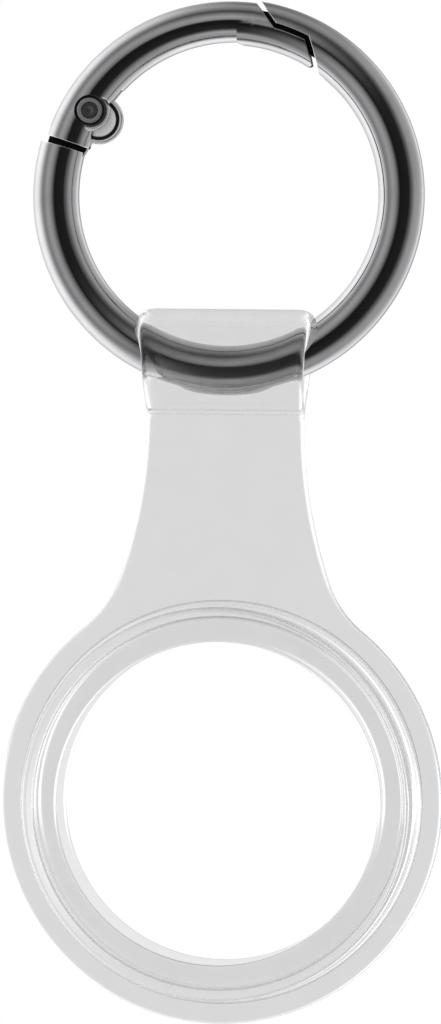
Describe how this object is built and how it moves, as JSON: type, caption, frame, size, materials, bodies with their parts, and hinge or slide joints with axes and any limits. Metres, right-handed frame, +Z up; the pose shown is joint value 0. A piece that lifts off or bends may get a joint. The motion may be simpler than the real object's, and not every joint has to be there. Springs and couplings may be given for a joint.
{
  "type": "tracker tag holder",
  "caption": "Clear soft holder that grips a coin-shaped tracker in a lipped ring, on a strap looped round a sprung metal ring with a hinged gate.",
  "frame": {"origin": "centre of the metal ring's eye, where a hook or bag loop holds it", "axes": "+Z up with the holder hanging below, +X to the right in the picture, +Y along the ring's axis, away from the picture's camera"},
  "size_m": [0.0382, 0.0084, 0.0884],
  "materials": {
    "dark_nickel": "polished",
    "rivet_nickel": "polished",
    "spring_steel": "satin",
    "clear_tpu": "gloss"
  },
  "bodies": {
    "ring": {"ring_body": "dark_nickel"},
    "gate": {"gate": "dark_nickel", "hinge_rivet": "rivet_nickel", "gate_spring": "spring_steel"},
    "holder": {"tag_holder": "clear_tpu"}
  },
  "joints": [
    {"name": "gate_hinge", "type": "hinge", "parent": "ring", "child": "gate", "pos_m": [-0.01196, 0, 0.00716], "axis": [0, 1, 0], "range_deg": [0, 30], "stiffness_Nm_per_rad": 0.03, "springref_deg": -34.38, "deforming": ["gate_spring"]},
    {"name": "holder_swing", "type": "hinge", "parent": "ring", "child": "holder", "pos_m": [0, 0, -0.01404], "axis": [1, 0, 0], "range_deg": [-150, 150]}
  ]
}
